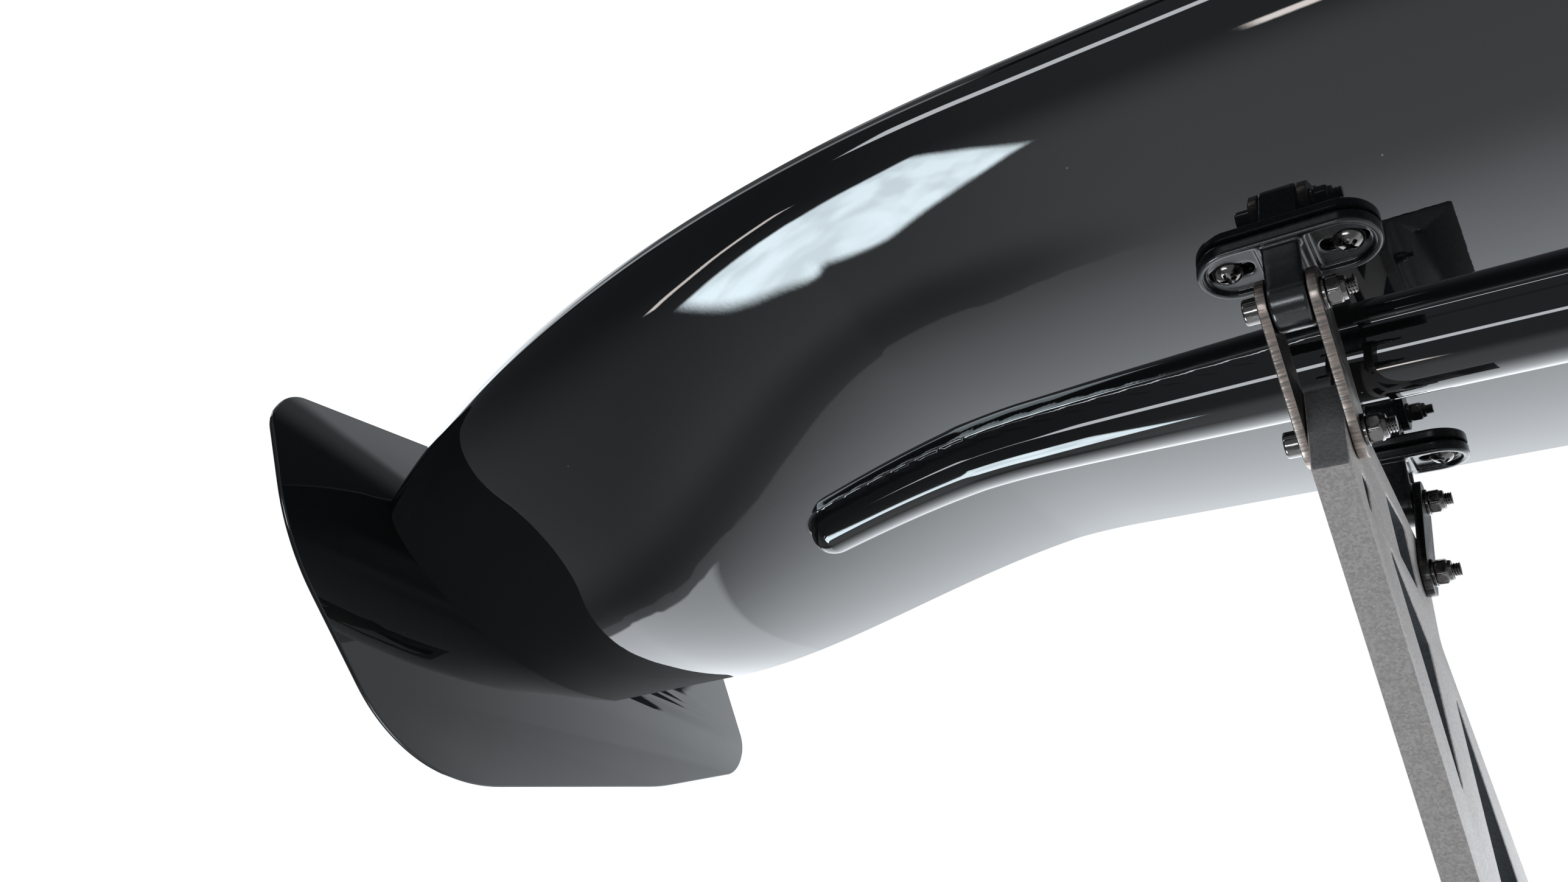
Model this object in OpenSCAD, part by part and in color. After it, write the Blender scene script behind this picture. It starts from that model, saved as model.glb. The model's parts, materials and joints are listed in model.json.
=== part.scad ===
// Rear wing on two swept stands.
// X runs along the span, Y points rearwards and Z points up, all in millimetres.
// The origin is on the mounting surface, midway between the four base bolts.

/* [Wing] */
// Span between the two endplates
wing_span = 1560; // [1480:10:1640]
// Wall of the moulded upper and lower skins
skin_t = 2; // [1.5:0.1:2.5]
// Thickness of the trailing edge
edge_t = 2; // [1.5:0.1:3]
// Depth of the underside below the chord line at mid-span, as a share of the chord
depth_mid = 0.088; // [0.08:0.001:0.095]
// Depth of the underside below the chord line at the tips, as a share of the chord
depth_tip = 0.125; // [0.11:0.001:0.135]
// Height of the top above the chord line, as a share of the chord
crown = 0.035; // [0.03:0.001:0.045]

/* [Ridge under the wing] */
// Width of the half-round ridge at mid-span
ridge_w = 43; // [38:1:46]
// Width of the ridge at its rounded ends
ridge_end_w = 31; // [28:1:34]
// Height of the half-round ridge, as a share of its half width
ridge_h = 1; // [0.7:0.05:1]
// Distance from the centre plane to each rounded end of the ridge
ridge_end = 525; // [500:5:560]

/* [Stands] */
// Distance from the centre plane to the middle of each stand
stand_x = 260; // [230:5:290]
// Thickness of the cast stand
stand_t = 13; // [12:0.5:15]
// Height of the front upper pivot above the mounting surface
pivot_h = 212; // [205:1:240]

/* [Links] */
// Pivot to pivot length of every link plate
link_l = 52; // [52:0.5:53]
// Width of a link plate
link_w = 20; // [18:1:21]
// Thickness of a link plate
link_t = 3.5; // [3:0.5:4]
// Sideways gap between a link plate and the piece that it swings on
side_gap = 0.4; // [0.3:0.1:0.6]

/* [Brackets] */
// Length of the bracket flange along the span
flange_l = 64; // [60:1:68]
// Width of the bracket flange
flange_w = 27; // [25:1:28]
// Thickness of the bracket flange
flange_t = 5.5; // [5:0.5:6]
// Diameter of the bracket's pivot boss
boss_d = 21; // [19:1:22]
// Distance from a bracket's pivot up to the wing's underside
seat_h = 24.1; // [24:0.1:24.2]

/* [Endplates] */
// Thickness of an endplate
plate_t = 3.5; // [3:0.5:5]

/* [Feet] */
// Length of a foot
foot_l = 151; // [145:1:151]
// Width of a foot's base
foot_w = 52; // [48:1:60]
// Thickness of the foot's base and of its upright
foot_t = 5; // [4:0.5:6]
// Height of the foot's upright above its base
foot_h = 38; // [34:1:42]
// Thickness of the rubber pad under a foot
pad_t = 2; // [1:0.5:3]
// Distance between the two base bolts of a foot
base_pitch = 100; // [90:1:110]

/* [Fasteners] */
// Diameter of the bolts and screws
bolt_d = 6; // [6:6]
// Radial play of a pivot on its bolt
run_gap = 0.05; // [0.02:0.01:0.1]
// Radial play of the rear upper pivot, where the four-bar linkage is opened
open_gap = 1.1; // [1:0.1:1.4]

/* [Hidden] */
$fn = 48;

left = -1;
right = 1;

// Height of a stand's foot, and its toe and middle along Y, from the front upper pivot
stand_foot_z = pad_t + foot_t - pivot_h;
stand_toe = 24 - (stand_foot_z + 54) / tan(40.5);
foot_mid = stand_toe + foot_l / 2;

// Pivots as [y, z]. Outlines further down are measured from the front upper pivot.
front_upper = [-foot_mid, pivot_h];
front_lower = front_upper + link_l * [cos(317.3), sin(317.3)];
rear_lower = front_upper + [157.5, -43];
rear_upper = rear_lower + link_l * [cos(60), sin(60)];
front_tilt = -5.5;
rear_tilt = 7;

// Leading and trailing edges as [y, z] from the front upper pivot
mid_lead = [-98, 62];
mid_trail = [208, 31];
tip_lead = [5, 33];
tip_trail = [222, -26];
half_span = wing_span / 2;
sweep_start = stand_x + 75;
step_start = stand_x + 130;
step_run = 280;
step_share = 0.68;
droop_start = stand_x + 165;
deepest_mid = 0.33;
deepest_tip = 0.5;
crown_at = 0.25;
ridge_front_mid = 0.51;
ridge_front_tip = 0.557;
ridge_turn = ridge_end - ridge_end_w / 2;
bond_gap = 0.05;
ridge_gap = 0.1;
ridge_edge = 0.3;

// Outlines as [y, z] corners with a corner radius
plate_corners = [[-92, 63], [-51, -17], [68, -124], [282, -73], [387, -35], [269, 113]];
plate_radii = [18, 180, 130, 200, 22, 20];
stand_heel = stand_toe + foot_l;
stand_corners = [
    [31, -17], [24, -54], [stand_toe, stand_foot_z], [stand_heel, stand_foot_z],
    [stand_heel, -138], [176, -67], [173.5, -26], [88, -20]
];
stand_radii = [4, 3, 3, 3, 12, 8, 15, 20];
windows = [
    [[42, -48.5], [54, -48.5], [51.5, -66]],
    [[91, -34], [103, -56], [137, -58], [128, -33]],
    [[73, -59], [139, -80], [164, -139]],
    [[188, -83], [241, -183], [336, -183], [336, -166]]
];
window_radius = 2.5;

bolt_r = bolt_d / 2;
head_d = 10;
head_h = 6;
hex_key = 5;
nut_af = 10;
nut_h = 5;
collar_h = 1.5;
washer_d = 12;
washer_t = 1.2;
thread_tail = 3;
link_in = stand_t / 2 + side_gap;
link_out = link_in + link_t;
slot_x = 19.5;
slot_l = 16;
slot_w = 6.6;
screw_x = 21;
pan_d = 12;
pan_h = 3.8;
screw_bite = 6.3;
insert_d = 9;
insert_l = 6.5;
plate_screw_d = 5;
plate_screw_l = 12;
plate_stops = [0.22, 0.45, 0.68];
rib_t = 9;
rib_gap = 0.4;
base_bolt_x = 26;
foot_bolt_pitch = 90;
foot_bolt_h = 22;
clear_r = 3.3;

function lerp(a, b, t) = a + (b - a) * t;
function clip(t) = min(1, max(0, t));
function ease(t) = clip(t) * clip(t) * (3 - 2 * clip(t));
function unit(v) = v / norm(v);

// Rounded corner of an outline: p is the corner, a and b are its neighbours
function corner(p, a, b, r) =
    let (u = unit(a - p), v = unit(b - p), half = acos(u * v) / 2)
    let (c = p + unit(u + v) * r / sin(half))
    let (s = p + u * r / tan(half) - c, e = p + v * r / tan(half) - c)
    let (from = atan2(s.y, s.x), turn = (atan2(e.y, e.x) - from + 540) % 360 - 180)
    let (steps = max(2, ceil(abs(turn) / 9)))
    [for (i = [0:steps]) c + r * [cos(from + turn * i / steps), sin(from + turn * i / steps)]];

function rounded(points, radii) =
    let (n = len(points))
    [for (i = [0:n - 1]) each corner(points[i], points[(i + n - 1) % n], points[(i + 1) % n], radii[i])];

// Share of the way from the mid-span section to the tip section at span station x
function sweep(x) = pow(clip((abs(x) - sweep_start) / (half_span - sweep_start)), 2);
function step(x) =
    step_share * ease((abs(x) - step_start) / step_run)
    + (1 - step_share) * clip((abs(x) - droop_start) / (half_span - droop_start));
function lead(x) = front_upper + lerp(mid_lead, tip_lead, sweep(x));
function trail(x) = front_upper + lerp(mid_trail, tip_trail, step(x));
function chord(x) = norm(trail(x) - lead(x));

// Depth of the underside and height of the top at chord share c: an ellipse at the nose, then a curve
function nose(c, peak) = sqrt(max(0, 1 - pow((peak - c) / peak, 2)));
function depth(c, x) =
    let (peak = lerp(deepest_mid, deepest_tip, step(x)), most = lerp(depth_mid, depth_tip, step(x)))
    chord(x) * most * (c < peak ? nose(c, peak) : 1 - pow((c - peak) / (1 - peak), 2)) + c * edge_t / 2;
function height(c, x) =
    chord(x) * crown * (c < crown_at ? nose(c, crown_at) : 1 - pow((c - crown_at) / (1 - crown_at), 1.5))
    + c * edge_t / 2;

// Half-round ridge that narrows outwards along its front edge and ends in a quarter ball
function ridge_taper(x) = clip((abs(x) - stand_x) / (ridge_end - stand_x));
function ridge_r(x) = lerp(ridge_w, ridge_end_w, ridge_taper(x)) / 2;
function ridge_at(x) = lerp(ridge_front_mid, ridge_front_tip, ridge_taper(x)) + ridge_r(x) / chord(x);
function ridge_along(x) = max(0, (abs(x) - ridge_turn) / (ridge_end_w / 2));
function ridge_half(x) = ridge_r(x) * sqrt(max(0.01, 1 - pow(ridge_along(x), 2)));
function ridge(c, x) =
    let (across = (c - ridge_at(x)) * chord(x) / ridge_r(x))
    ridge_h * ridge_r(x) * sqrt(max(0, 1 - pow(across, 2) - pow(ridge_along(x), 2)));

// Point at chord share c and distance h above the chord line
function section_point(c, h, x) =
    let (d = unit(trail(x) - lead(x)), p = lead(x) + c * (trail(x) - lead(x)) + h * [-d.y, d.x])
    [x, p.x, p.y];

// Chord shares of the skins and of the ridge, closest where the outline bends most
function ridge_stops(x, half, step) = [for (a = [-90:step:90]) ridge_at(x) + half / chord(x) * sin(a)];
function chord_stops(x) =
    let (s = ridge_stops(x, ridge_r(x), 60), back = s[len(s) - 1])
    concat(
        [for (i = [0:8]) 0.3 * (1 - cos(i * 90 / 8))],
        [0.4],
        s,
        [for (i = [1:4]) lerp(back, 1, i / 4)]
    );

// Plane halfway between the two surfaces, and the faces of the hollow above and below it
function middle(c, x) = (height(c, x) - depth(c, x)) / 2;
function hollow(c, x) = max(bond_gap, (height(c, x) + depth(c, x)) / 2 - skin_t);
function hollow_top(c, x) = middle(c, x) + hollow(c, x);
function hollow_bottom(c, x) = middle(c, x) - hollow(c, x);
function upper_ring(x) =
    let (s = chord_stops(x), n = len(s) - 1)
    concat(
        [for (i = [0:n]) section_point(s[i], height(s[i], x), x)],
        [for (i = [n:-1:1]) section_point(s[i], hollow_top(s[i], x), x)]
    );
function lower_ring(x) =
    let (s = chord_stops(x), n = len(s) - 1)
    concat(
        [for (i = [0:n]) section_point(s[i], hollow_bottom(s[i], x), x)],
        [for (i = [n:-1:1]) section_point(s[i], -depth(s[i], x), x)]
    );
function ridge_ring(x) =
    let (top = ridge_stops(x, ridge_half(x), 60), s = ridge_stops(x, ridge_half(x), 15))
    let (under = [for (c = s) -depth(c, x) - ridge_gap])
    concat(
        [for (c = top) section_point(c, -depth(c, x) - ridge_gap, x)],
        [for (i = [len(s) - 1:-1:0]) section_point(s[i], under[i] - ridge_edge - ridge(s[i], x), x)]
    );

// Span stations from the start of the ridge's taper to the tip, closest at the ridge's round end
half_stops = concat(
    [stand_x],
    [for (i = [0:4]) lerp(sweep_start, ridge_turn, i / 4)],
    [for (a = [30:20:90]) lerp(ridge_turn, ridge_end, sin(a))],
    [for (i = [1:7]) lerp(ridge_end, half_span, i / 7)]
);
span_stops = concat([for (i = [len(half_stops) - 1:-1:0]) -half_stops[i]], half_stops);

module loft(rings) {
    n = len(rings[0]);
    m = len(rings);
    sides = [
        for (j = [0:m - 2], i = [0:n - 1], k = [0, 1])
        let (a = j * n + i, b = j * n + (i + 1) % n)
        k == 0 ? [a, b, b + n] : [a, b + n, a + n]
    ];
    caps = [[for (i = [n - 1:-1:0]) i], [for (i = [0:n - 1]) (m - 1) * n + i]];
    polyhedron([for (r = rings) each r], concat(sides, caps));
}

// Draws the left-hand piece, or its mirror image on the right
module sided(side) {
    if (side == left) {
        children();
    } else {
        mirror([1, 0, 0]) children();
    }
}

// Places a piece drawn around a pivot at the left stand, turned by tilt about the span axis
module at_pivot(p, tilt = 0) {
    translate([-stand_x, p.x, p.y]) rotate([tilt, 0, 0]) children();
}

// Cylinder along X from a to b
module rod_x(a, b, r) {
    translate([a, 0, 0]) rotate([0, 90, 0]) cylinder(r = r, h = b - a);
}

// Plate in the YZ plane from x = a to x = b
module slab_x(a, b) {
    translate([a, 0, 0]) rotate([90, 0, 90]) linear_extrude(b - a) children();
}

module wing_upper_skin() {
    color([0.05, 0.05, 0.055]) loft([for (x = span_stops) upper_ring(x)]);
}

module wing_lower_skin() {
    color([0.05, 0.05, 0.055]) difference() {
        loft([for (x = span_stops) lower_ring(x)]);
        for (side = [left, right]) {
            sided(side) insert_places() translate([0, 0, -2]) insert_body(insert_l + 2);
        }
    }
}

// Half-round bar bonded along the underside
module wing_ridge() {
    color([0.05, 0.05, 0.055]) loft([for (x = span_stops) if (abs(x) <= ridge_end) ridge_ring(x)]);
}

// Rectangular tube bonded between the skins over both stands
module centre_spar() {
    spar_l = 2 * (stand_x + 120);
    spar_w = 20;
    spar_h = 30;
    wall = 2;
    color([0.7, 0.71, 0.72]) translate([-spar_l / 2, front_upper.x + 26, front_upper.y + 24.5]) difference() {
        cube([spar_l, spar_w, spar_h]);
        translate([-1, wall, wall]) cube([spar_l + 2, spar_w - 2 * wall, spar_h - 2 * wall]);
    }
}

// Closing rib inside a wing tip, which the endplate screws bite into
module tip_rib(side) {
    stops = [for (i = [0:12]) 0.03 + 0.8 * (1 - cos(i * 7.5))];
    n = len(stops) - 1;
    rings = [
        for (x = [-half_span + 0.2, -half_span + rib_t]) concat(
            [for (i = [0:n]) section_point(stops[i], hollow_top(stops[i], x) - rib_gap, x)],
            [for (i = [n:-1:0]) section_point(stops[i], hollow_bottom(stops[i], x) + rib_gap, x)]
        )
    ];
    color([0.75, 0.72, 0.6]) sided(side) loft(rings);
}

// Places pieces at the endplate screws, with +Z pointing outwards
module plate_screw_places() {
    for (c = plate_stops) {
        p = section_point(c, middle(c, half_span), half_span);
        translate([-half_span, p.y, p.z]) rotate([0, -90, 0]) children();
    }
}

module endplate(side) {
    color([0.04, 0.04, 0.045]) sided(side) difference() {
        slab_x(-half_span - plate_t, -half_span)
            translate(front_upper) polygon(rounded(plate_corners, plate_radii));
        plate_screw_places() translate([0, 0, -1]) cylinder(d = plate_screw_d + 0.4, h = plate_t + 2);
    }
}

module endplate_screws(side) {
    dome_h = 2.8;
    dome_r = 4.7;
    color([0.12, 0.12, 0.13]) sided(side) plate_screw_places() {
        translate([0, 0, plate_t - plate_screw_l]) cylinder(d = plate_screw_d, h = plate_screw_l);
        translate([0, 0, plate_t]) difference() {
            pan_head(dome_r, dome_h);
            translate([0, 0, dome_h - 1.6]) cylinder(d = 3 / cos(30), h = 2, $fn = 6);
        }
    }
}

// Low domed head with its flat face on z = 0
module pan_head(r, h) {
    ball = (r * r + h * h) / (2 * h);
    intersection() {
        translate([0, 0, h - ball]) sphere(r = ball);
        cylinder(r = r - 0.2, h = h + 1);
    }
}

// Places pieces at the left stand's two brackets, with the pivot at the origin
module bracket_places() {
    at_pivot(front_upper, front_tilt) children();
    at_pivot(rear_upper, rear_tilt) children();
}

module insert_places() {
    bracket_places() for (x = [-screw_x, screw_x]) translate([x, 0, seat_h]) children();
}

// T-shaped bracket: slotted flange under the wing, web and pivot boss
module bracket(side, p, tilt, bore_r) {
    flange_z = seat_h - flange_t;
    web_top = flange_w / 2 - 2.5;
    web = [[-boss_d / 2, 0], [boss_d / 2, 0], [web_top, flange_z + 1], [-web_top, flange_z + 1]];
    color([0.06, 0.06, 0.065]) sided(side) at_pivot(p, tilt) difference() {
        union() {
            translate([0, 0, flange_z]) stadium(flange_l, flange_w, flange_t);
            rod_x(-stand_t / 2, stand_t / 2, boss_d / 2);
            slab_x(-stand_t / 2, stand_t / 2) polygon(web);
        }
        rod_x(-stand_t, stand_t, bore_r);
        for (x = [-slot_x, slot_x]) {
            translate([x, 0, flange_z - 1]) stadium(slot_l, slot_w, flange_t + 2);
        }
    }
}

// Upright bar with half-round ends, long along X
module stadium(l, w, h) {
    translate([-(l - w) / 2, -w / 2, 0]) cube([l - w, w, h]);
    for (x = [-(l - w) / 2, (l - w) / 2]) {
        translate([x, 0, 0]) cylinder(d = w, h = h);
    }
}

// Two cross-head screws that hold a bracket's flange to the wing
module bracket_screws(side, p, tilt) {
    cross_w = 1.2;
    cross_l = 6.4;
    color([0.1, 0.1, 0.11]) sided(side) at_pivot(p, tilt) for (x = [-screw_x, screw_x]) {
        translate([x, 0, seat_h - flange_t]) {
            cylinder(r = bolt_r - 0.05, h = flange_t + screw_bite);
            mirror([0, 0, 1]) difference() {
                pan_head(pan_d / 2, pan_h);
                for (a = [45, 135]) {
                    rotate([0, 0, a]) translate([0, 0, 1.6 + pan_h / 2])
                        cube([cross_l, cross_w, pan_h], center = true);
                }
            }
        }
    }
}

// Eight-sided, so that the insert can't turn in the skin
module insert_body(h) {
    cylinder(d = insert_d, h = h);
}

module threaded_inserts(side) {
    color([0.78, 0.65, 0.35]) sided(side) insert_places() difference() {
        insert_body(insert_l);
        translate([0, 0, -1]) cylinder(r = bolt_r, h = insert_l + 2);
    }
}

// Link plate from pivot p towards pivot q; x_in is its face nearest the stand
module link_plate(side, p, q, x_in) {
    angle = atan2(q.y - p.y, q.x - p.x);
    color([0.62, 0.58, 0.54]) sided(side) at_pivot(p) rotate([angle, 0, 0]) difference() {
        union() {
            for (y = [0, link_l]) {
                translate([0, y, 0]) rod_x(x_in, x_in + link_t, link_w / 2);
            }
            translate([x_in, 0, -link_w / 2]) cube([link_t, link_l, link_w]);
        }
        for (y = [0, link_l]) {
            translate([0, y, 0]) rod_x(x_in - 1, x_in + link_t + 1, bolt_r + run_gap);
        }
    }
}

// Socket-head bolt along X whose head bears on the plane x = -reach
module socket_bolt(reach, l) {
    socket_depth = 3;
    rod_x(-reach, l - reach, bolt_r);
    difference() {
        rod_x(-reach - head_h, -reach, head_d / 2);
        translate([-reach - head_h - 1, 0, 0]) rotate([0, 90, 0])
            cylinder(d = hex_key / cos(30), h = socket_depth + 1, $fn = 6);
    }
}

module pivot_bolt(side, p) {
    bolt_l = 2 * link_out + washer_t + nut_h + collar_h + thread_tail;
    color([0.2, 0.19, 0.19]) sided(side) at_pivot(p) socket_bolt(link_out, bolt_l);
}

// Locking nut along X from x = a: a hexagon and its round collar
module lock_nut(a) {
    difference() {
        union() {
            translate([a, 0, 0]) rotate([0, 90, 0]) cylinder(d = nut_af / cos(30), h = nut_h, $fn = 6);
            rod_x(a + nut_h, a + nut_h + collar_h, nut_af / 2 - 0.6);
        }
        rod_x(a - 1, a + nut_h + collar_h + 1, bolt_r + 0.02);
    }
}

module link_nuts(side, pivots) {
    color([0.2, 0.19, 0.19]) sided(side) for (p = pivots) {
        at_pivot(p) lock_nut(link_out + washer_t);
    }
}

module washer(a) {
    difference() {
        rod_x(a, a + washer_t, washer_d / 2);
        rod_x(a - 1, a + washer_t + 1, bolt_r + 0.2);
    }
}

module link_washers(side, pivots) {
    color([0.3, 0.3, 0.3]) sided(side) for (p = pivots) {
        at_pivot(p) washer(link_out);
    }
}

module foot_bolt_places() {
    for (y = [-foot_bolt_pitch / 2, foot_bolt_pitch / 2]) {
        translate([-stand_x, y, pad_t + foot_t + foot_bolt_h]) children();
    }
}

// Cast side plate with triangular windows
module stand(side) {
    color([0.72, 0.72, 0.72]) sided(side) difference() {
        translate([-stand_x, 0, 0]) slab_x(-stand_t / 2, stand_t / 2) translate(front_upper) difference() {
            polygon(rounded(stand_corners, stand_radii));
            for (w = windows) {
                polygon(rounded(w, [for (p = w) window_radius]));
            }
        }
        for (p = [front_lower, rear_lower]) {
            at_pivot(p) rod_x(-stand_t, stand_t, bolt_r + run_gap);
        }
        foot_bolt_places() rod_x(-stand_t, stand_t, clear_r);
    }
}

// Outline shared by a foot's base and its pad, with two bolt holes
module foot_base(z, h) {
    difference() {
        translate([-stand_x - stand_t / 2, -foot_l / 2, z]) cube([foot_w, foot_l, h]);
        for (y = [-base_pitch / 2, base_pitch / 2]) {
            translate([-stand_x + base_bolt_x, y, z - 1])
                cylinder(r = clear_r, h = h + 2);
        }
    }
}

// Angle bracket under and beside the stand
module foot(side) {
    color([0.5, 0.5, 0.5]) sided(side) {
        difference() {
            union() {
                foot_base(pad_t, foot_t);
                translate([-stand_x + stand_t / 2, -foot_l / 2, pad_t])
                    cube([foot_t, foot_l, foot_t + foot_h]);
            }
            foot_bolt_places() rod_x(0, 2 * stand_t, clear_r);
        }
    }
}

module foot_pad(side) {
    color([0.08, 0.08, 0.08]) sided(side) foot_base(0, pad_t);
}

module foot_bolts(side) {
    bolt_l = stand_t + foot_t + nut_h + collar_h + thread_tail;
    color([0.2, 0.19, 0.19]) sided(side) foot_bolt_places() socket_bolt(stand_t / 2, bolt_l);
}

module foot_nuts(side) {
    color([0.2, 0.19, 0.19]) sided(side) foot_bolt_places() lock_nut(stand_t / 2 + foot_t);
}

wing_upper_skin();
wing_lower_skin();
wing_ridge();
centre_spar();
tip_rib(left);  // left_tip_rib
tip_rib(right);  // right_tip_rib
endplate(left);  // left_endplate
endplate(right);  // right_endplate
endplate_screws(left);  // left_endplate_screws
endplate_screws(right);  // right_endplate_screws
bracket(left, front_upper, front_tilt, bolt_r + run_gap);  // left_front_bracket
bracket(right, front_upper, front_tilt, bolt_r + run_gap);  // right_front_bracket
bracket(left, rear_upper, rear_tilt, bolt_r + open_gap);  // left_rear_bracket
bracket(right, rear_upper, rear_tilt, bolt_r + open_gap);  // right_rear_bracket
bracket_screws(left, front_upper, front_tilt);  // left_front_bracket_screws
bracket_screws(right, front_upper, front_tilt);  // right_front_bracket_screws
bracket_screws(left, rear_upper, rear_tilt);  // left_rear_bracket_screws
bracket_screws(right, rear_upper, rear_tilt);  // right_rear_bracket_screws
threaded_inserts(left);  // left_threaded_inserts
threaded_inserts(right);  // right_threaded_inserts
link_plate(left, front_lower, front_upper, -link_out);  // left_front_outer_link
link_plate(left, front_lower, front_upper, link_in);  // left_front_inner_link
link_plate(right, front_lower, front_upper, -link_out);  // right_front_outer_link
link_plate(right, front_lower, front_upper, link_in);  // right_front_inner_link
link_plate(left, rear_lower, rear_upper, -link_out);  // left_rear_outer_link
link_plate(left, rear_lower, rear_upper, link_in);  // left_rear_inner_link
link_plate(right, rear_lower, rear_upper, -link_out);  // right_rear_outer_link
link_plate(right, rear_lower, rear_upper, link_in);  // right_rear_inner_link
pivot_bolt(left, front_upper);  // left_front_upper_bolt
pivot_bolt(left, front_lower);  // left_front_lower_bolt
pivot_bolt(right, front_upper);  // right_front_upper_bolt
pivot_bolt(right, front_lower);  // right_front_lower_bolt
pivot_bolt(left, rear_upper);  // left_rear_upper_bolt
pivot_bolt(left, rear_lower);  // left_rear_lower_bolt
pivot_bolt(right, rear_upper);  // right_rear_upper_bolt
pivot_bolt(right, rear_lower);  // right_rear_lower_bolt
link_nuts(left, [front_upper, front_lower]);  // left_front_nuts
link_nuts(right, [front_upper, front_lower]);  // right_front_nuts
link_nuts(left, [rear_upper, rear_lower]);  // left_rear_nuts
link_nuts(right, [rear_upper, rear_lower]);  // right_rear_nuts
link_washers(left, [front_upper, front_lower]);  // left_front_washers
link_washers(right, [front_upper, front_lower]);  // right_front_washers
link_washers(left, [rear_upper, rear_lower]);  // left_rear_washers
link_washers(right, [rear_upper, rear_lower]);  // right_rear_washers
stand(left);  // left_stand
stand(right);  // right_stand
foot(left);  // left_foot
foot(right);  // right_foot
foot_pad(left);  // left_foot_pad
foot_pad(right);  // right_foot_pad
foot_bolts(left);  // left_foot_bolts
foot_bolts(right);  // right_foot_bolts
foot_nuts(left);  // left_foot_nuts
foot_nuts(right);  // right_foot_nuts
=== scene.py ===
import json
import math

import bmesh
import bpy
import numpy as np
from mathutils import Euler, Matrix, Vector
from mathutils.geometry import tessellate_polygon


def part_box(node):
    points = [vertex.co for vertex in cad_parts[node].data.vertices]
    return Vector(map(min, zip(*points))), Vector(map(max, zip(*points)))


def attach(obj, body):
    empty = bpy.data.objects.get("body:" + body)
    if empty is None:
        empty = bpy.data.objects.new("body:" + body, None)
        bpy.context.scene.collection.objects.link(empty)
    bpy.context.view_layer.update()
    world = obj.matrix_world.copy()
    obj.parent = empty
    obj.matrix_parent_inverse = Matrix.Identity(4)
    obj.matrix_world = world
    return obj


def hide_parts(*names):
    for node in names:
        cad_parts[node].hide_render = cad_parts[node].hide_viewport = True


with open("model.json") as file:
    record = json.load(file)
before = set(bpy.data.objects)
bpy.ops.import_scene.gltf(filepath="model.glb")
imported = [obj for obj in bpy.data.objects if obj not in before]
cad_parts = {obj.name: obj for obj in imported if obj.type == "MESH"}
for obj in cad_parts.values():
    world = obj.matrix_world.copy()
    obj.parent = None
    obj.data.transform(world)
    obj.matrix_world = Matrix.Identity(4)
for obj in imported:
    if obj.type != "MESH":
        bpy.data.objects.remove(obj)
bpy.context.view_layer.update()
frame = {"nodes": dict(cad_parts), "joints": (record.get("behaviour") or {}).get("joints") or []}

MM = 0.001
SIDES = {"left": -1, "right": 1}
PAINTED_SHADE_ATTR = "painted_shade_amount"
ENDS = ("front", "rear")

# ---------------------------------------------------------------- places read from the frame


def joint_place(name):
    """[y, z] of a joint's axis, in metres."""
    pos = next(j["pos_m"] for j in frame["joints"] if j["name"] == name)
    return np.array(pos[1:])


def centre(node):
    low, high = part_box(node)
    return (low + high) / 2


def size(node):
    low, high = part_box(node)
    return high - low


FRONT_UPPER = joint_place("wing_pivot")
FRONT_LOWER = joint_place("front_link_pivot")
REAR_LOWER = joint_place("rear_link_pivot")
REAR_UPPER = np.array(centre("left_rear_upper_bolt")[1:])
PIVOTS = {"front": (FRONT_UPPER, FRONT_LOWER), "rear": (REAR_UPPER, REAR_LOWER)}
TILTS = {"front": math.radians(-5.5), "rear": math.radians(7)}

STAND_X = centre("right_stand").x
STAND_T = size("right_stand").x
HALF_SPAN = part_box("wing_lower_skin")[1].x
PLATE_T = size("right_endplate").x
LINK_T = size("right_front_outer_link").x
LINK_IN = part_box("right_front_outer_link")[0].x - STAND_X
LINK_OUT = LINK_IN + LINK_T
LINK_W = 20 * MM
BOLT_R = 3 * MM
PITCH = 1 * MM

# ---------------------------------------------------------------- camera

FOCAL_MM = 26.93
CAMERA_PLACE = Vector((-0.19395, -0.64201, -0.04751))
CAMERA_RIGHT = Vector((0.8146, 0.5730, 0.0903))
CAMERA_UP = Vector((0.2156, -0.4436, 0.8699))


def make_camera():
    data = bpy.data.cameras.new("camera")
    data.lens = FOCAL_MM
    data.sensor_width = 36
    data.clip_start = 0.02
    data.clip_end = 60
    camera = bpy.data.objects.new("camera", data)
    bpy.context.scene.collection.objects.link(camera)
    right = CAMERA_RIGHT.normalized()
    back = right.cross(CAMERA_UP).normalized()
    up = back.cross(right)
    camera.matrix_world = Matrix.Translation(CAMERA_PLACE) @ Matrix((right, up, back)).transposed().to_4x4()
    bpy.context.scene.camera = camera


# ---------------------------------------------------------------- mesh helpers


class Solid:
    """Vertices and faces of one piece, built up from closed shells."""

    def __init__(self):
        self.points = []
        self.faces = []

    def add(self, points, faces, place=None):
        start = len(self.points)
        for p in points:
            self.points.append(place(p) if place else tuple(p))
        self.faces.extend(tuple(start + i for i in f) for f in faces)
        return self


def circle(r, n=48, at=(0, 0), start=0.0):
    return [
        (at[0] + r * math.cos(start + 2 * math.pi * i / n), at[1] + r * math.sin(start + 2 * math.pi * i / n))
        for i in range(n)
    ]


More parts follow.
